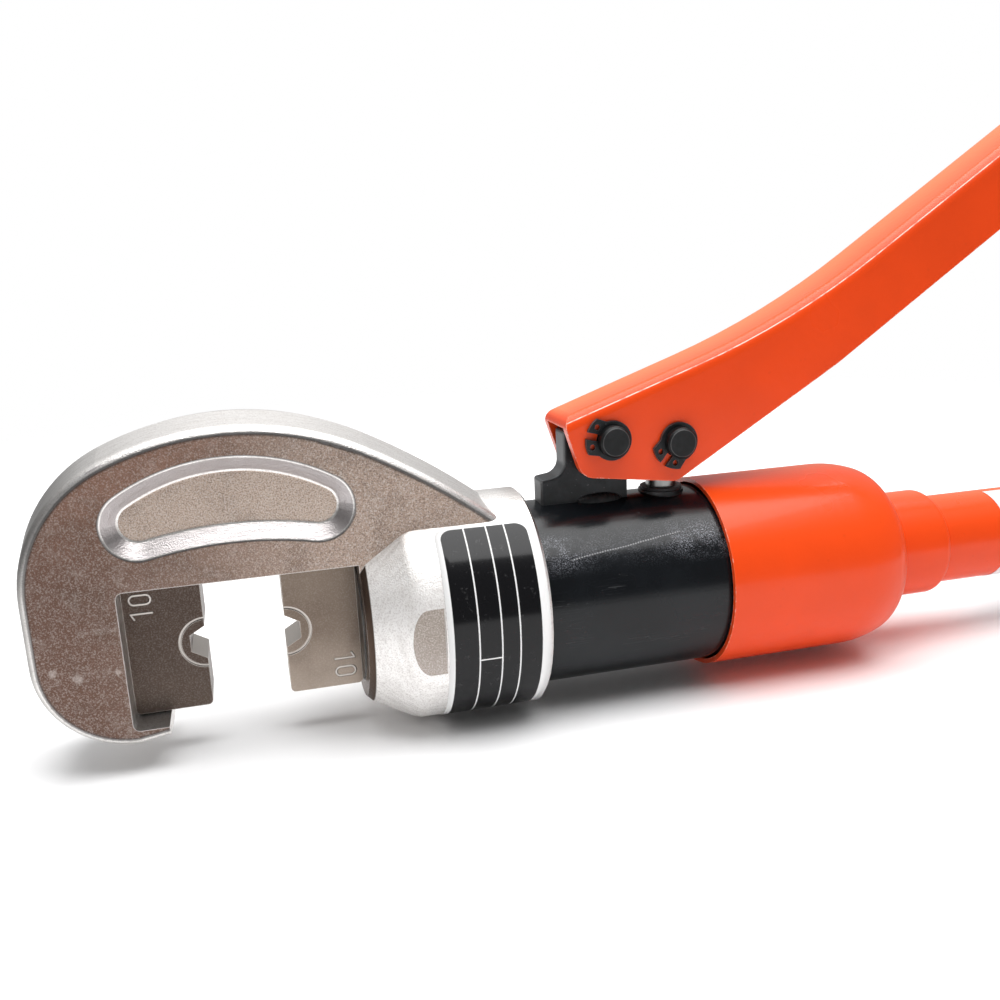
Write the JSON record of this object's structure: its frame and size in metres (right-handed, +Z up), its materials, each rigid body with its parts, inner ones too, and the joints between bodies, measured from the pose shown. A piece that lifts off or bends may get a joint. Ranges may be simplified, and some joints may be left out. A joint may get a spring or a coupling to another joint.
{
  "type": "hydraulic crimping tool",
  "caption": "Hand-pumped hydraulic crimping tool: C-shaped forged head with a pair of hexagonal dies, black barrel, orange reservoir handle and orange pump lever.",
  "frame": {"origin": "centre of the hexagonal crimp nest, on the front face of the fixed die, on the tool's axis", "axes": "+X along the tool's axis from the fixed die towards the handle, +Z up towards the pump lever, +Y across the tool, away from the side that shows in the picture"},
  "size_m": [0.4008, 0.0564, 0.2295],
  "materials": {
    "forged_steel": "satin",
    "die_steel": "satin",
    "ram_steel": "satin",
    "barrel_black": "satin",
    "orange_paint": "gloss",
    "black_steel": "satin",
    "bright_steel": "polished",
    "spring_steel": "satin",
    "seal_rubber": "matte",
    "grip_rubber": "matte",
    "label_film": "gloss",
    "pale_film": "gloss"
  },
  "bodies": {
    "tool_body": {"c_head": "forged_steel", "head_catch_ball": "bright_steel", "head_catch_spring": "spring_steel", "head_catch_screw": "black_steel", "rod_seal": "seal_rubber", "spring_bolt": "spring_steel", "return_spring": "spring_steel", "barrel": "barrel_black", "delivery_ball": "bright_steel", "delivery_spring": "spring_steel", "delivery_retainer": "spring_steel", "suction_ball": "bright_steel", "suction_spring": "spring_steel", "suction_seat_screw": "spring_steel", "relief_ball": "bright_steel", "relief_spring": "spring_steel", "relief_screw": "spring_steel", "gallery_plugs": "black_steel", "plunger_gland": "black_steel", "plunger_seal": "seal_rubber", "plunger_wiper": "seal_rubber", "lever_bracket": "black_steel", "bracket_welds": "black_steel", "stem_tube": "spring_steel", "needle_seal": "seal_rubber", "bladder": "seal_rubber", "front_clamp": "spring_steel", "rear_clamp": "spring_steel", "name_band": "label_film"},
    "ram": {"ram": "ram_steel", "piston_seal": "seal_rubber", "wear_ring": "seal_rubber", "ram_cap": "spring_steel", "ram_catch_ball": "bright_steel", "ram_catch_spring": "spring_steel", "ram_catch_screw": "black_steel"},
    "moving_die": {"moving_die": "die_steel"},
    "fixed_die": {"fixed_die": "die_steel"},
    "lever": {"lever": "orange_paint", "lever_grip": "grip_rubber", "pivot_pin": "black_steel", "plunger_pin": "black_steel", "circlips": "black_steel"},
    "plunger": {"plunger": "bright_steel"},
    "fixed_handle": {"reservoir_cup": "orange_paint", "cup_nut": "black_steel", "handle_tube": "orange_paint", "tube_plug": "spring_steel", "release_needle": "spring_steel", "fixed_grip": "grip_rubber", "tube_label": "pale_film"}
  },
  "joints": [
    {"name": "lever_pivot", "type": "hinge", "parent": "tool_body", "child": "lever", "pos_m": [0.1031, 0, 0.0403], "axis": [0, 1, 0], "range_deg": [-10, 18]},
    {"name": "plunger_slide", "type": "slide", "parent": "tool_body", "child": "plunger", "axis": [0, 0, -1], "range_m": [-0.0032, 0.0057]},
    {"name": "ram_slide", "type": "slide", "parent": "tool_body", "child": "ram", "axis": [-1, 0, 0], "range_m": [0, 0.0184], "stiffness_N_per_m": 5000, "springref_m": -0.012, "deforming": ["return_spring"]},
    {"name": "moving_die_release", "type": "slide", "parent": "ram", "child": "moving_die", "axis": [1, 0, 0], "range_m": [-0.008, 0]},
    {"name": "fixed_die_release", "type": "slide", "parent": "tool_body", "child": "fixed_die", "axis": [-1, 0, 0], "range_m": [-0.008, 0]},
    {"name": "handle_release", "type": "hinge", "parent": "tool_body", "child": "fixed_handle", "pos_m": [0.16, 0, 0], "axis": [1, 0, 0], "range_deg": [0, 90]}
  ],
  "couplings": [
    {"joint": "plunger_slide", "follows": "lever_pivot", "m_per_rad": 0.0177}
  ]
}
